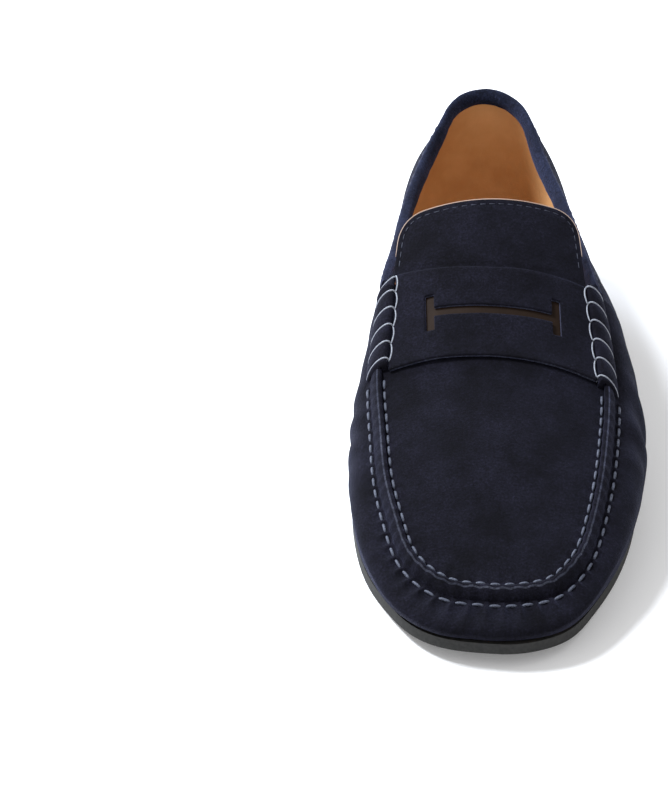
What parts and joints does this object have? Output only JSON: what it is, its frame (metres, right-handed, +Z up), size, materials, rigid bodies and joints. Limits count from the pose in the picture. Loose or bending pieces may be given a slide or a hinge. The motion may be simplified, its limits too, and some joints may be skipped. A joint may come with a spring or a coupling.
{
  "type": "penny loafer",
  "caption": "Left suede penny loafer with a hand-sewn apron seam, slotted saddle strap with rolled ends, lifting tongue, bound topline, leather lining and thin rubber sole.",
  "frame": {"origin": "centre of the shoe's footprint box, on the ground", "axes": "+Z up, +Y towards the heel (the toe points to -Y), +X towards the wearer's outside of the left foot"},
  "size_m": [0.1096, 0.2966, 0.0879],
  "materials": {
    "navy_suede": "napped navy suede",
    "tan_leather": "smooth tan lining leather",
    "brown_leather": "smooth dark brown leather",
    "thread": "waxed blue-grey thread",
    "sole_rubber": "matt moulded rubber",
    "heel_rubber": "matt moulded rubber",
    "board": "fibre board",
    "cork": "granulated cork",
    "steel": "mill finish"
  },
  "bodies": {
    "root": {"outsole": "sole_rubber", "heel_lift": "sole_rubber", "heel_top_piece": "heel_rubber", "insole_board": "board", "heel_nails": "steel", "forefoot_filler": "cork", "steel_shank": "steel", "heel_pad": "tan_leather", "sock_lining": "tan_leather", "vamp_wall": "navy_suede", "quarter_lateral": "navy_suede", "quarter_medial": "navy_suede", "quarter_lining_lateral": "tan_leather", "quarter_lining_medial": "tan_leather", "back_strip": "navy_suede", "topline_binding": "navy_suede", "heel_counter": "board", "toe_puff": "board", "vamp_lining": "tan_leather", "apron": "navy_suede", "apron_lining": "tan_leather", "saddle_strap": "navy_suede", "strap_underlay": "brown_leather", "strap_roll_lateral": "navy_suede", "roll_stitches_lateral": "thread", "strap_roll_medial": "navy_suede", "roll_stitches_medial": "thread", "seam_thread_inner": "thread", "seam_thread_outer": "thread", "binding_thread": "thread"},
    "tongue": {"tongue": "navy_suede", "tongue_lining": "tan_leather"}
  },
  "joints": [
    {"name": "tongue_lift", "type": "hinge", "parent": "root", "child": "tongue", "pos_m": [0, 0.00143, 0.0729], "axis": [1, 0, 0], "range_deg": [0, 25], "stiffness_Nm_per_rad": 0.004}
  ]
}
